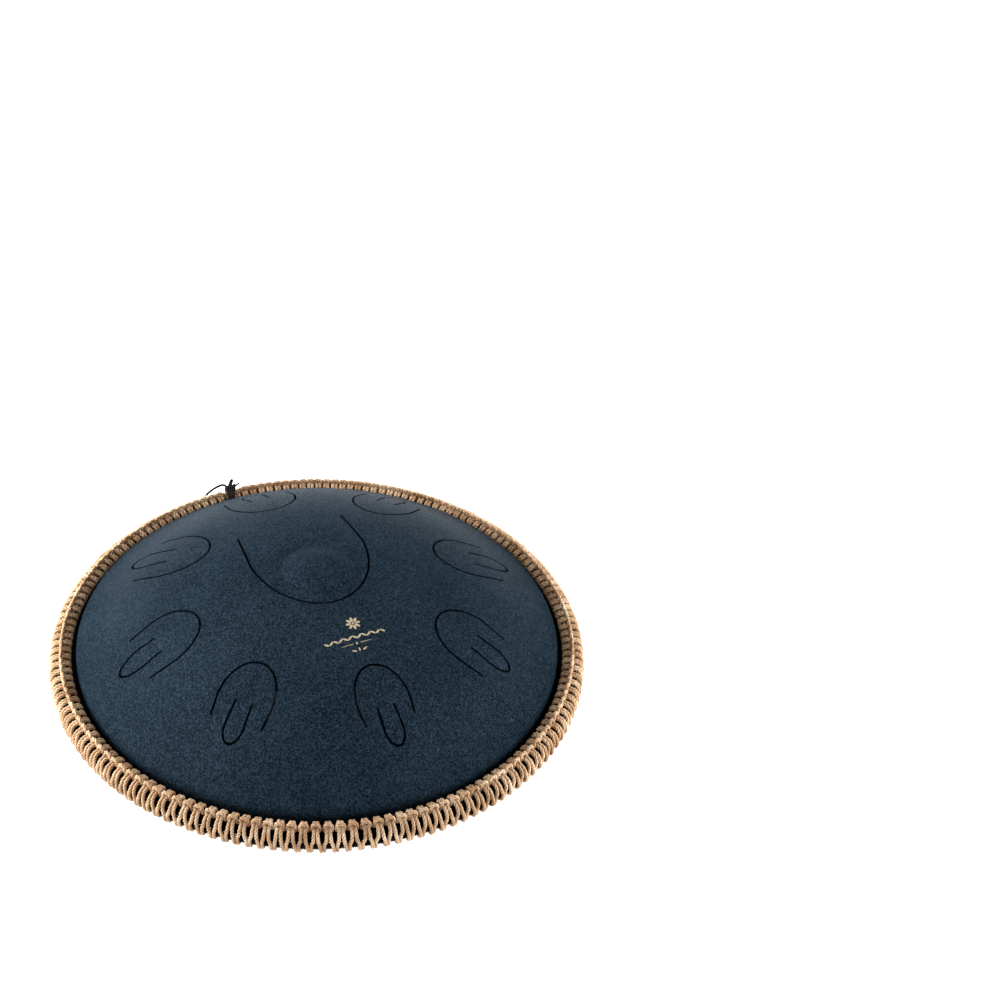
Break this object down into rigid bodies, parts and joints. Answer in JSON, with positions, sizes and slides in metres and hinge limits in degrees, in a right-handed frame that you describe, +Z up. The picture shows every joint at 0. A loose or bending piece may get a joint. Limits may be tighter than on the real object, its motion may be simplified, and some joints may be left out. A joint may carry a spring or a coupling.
{
  "type": "handpan",
  "caption": "Steel tongue handpan: two formed steel shells bonded at a rope-laced rim, double tongues round a domed centre tongue, round sound port and rubber feet below.",
  "frame": {"origin": "on the drum's axis, on the ground under its feet", "axes": "+Z up along the drum's axis, -Y towards the player, +Y towards the tie on the rope"},
  "size_m": [0.4112, 0.4163, 0.1667],
  "materials": {
    "top_coat": "dark slate blue powder coat with a fine leather texture, satin",
    "bottom_coat": "dark slate blue powder coat with a fine leather texture, satin",
    "seal": "black bonding seal, matte",
    "rope": "tan natural fibre rope, laid in plies, dry and slightly fuzzy",
    "hoop_cord": "dark brown waxed cord",
    "lace": "very dark brown waxed lace",
    "foot_rubber": "black moulded rubber, matte"
  },
  "bodies": {
    "root": {"top_shell": "top_coat", "bottom_shell": "bottom_coat", "rim_bond": "seal", "rope_lacing": "rope", "upper_hoop": "hoop_cord", "lower_hoop": "hoop_cord", "tie_wrap": "lace", "tie_knot": "lace", "tie_tail": "lace", "foot_1": "foot_rubber", "foot_2": "foot_rubber", "foot_3": "foot_rubber"}
  },
  "joints": []
}
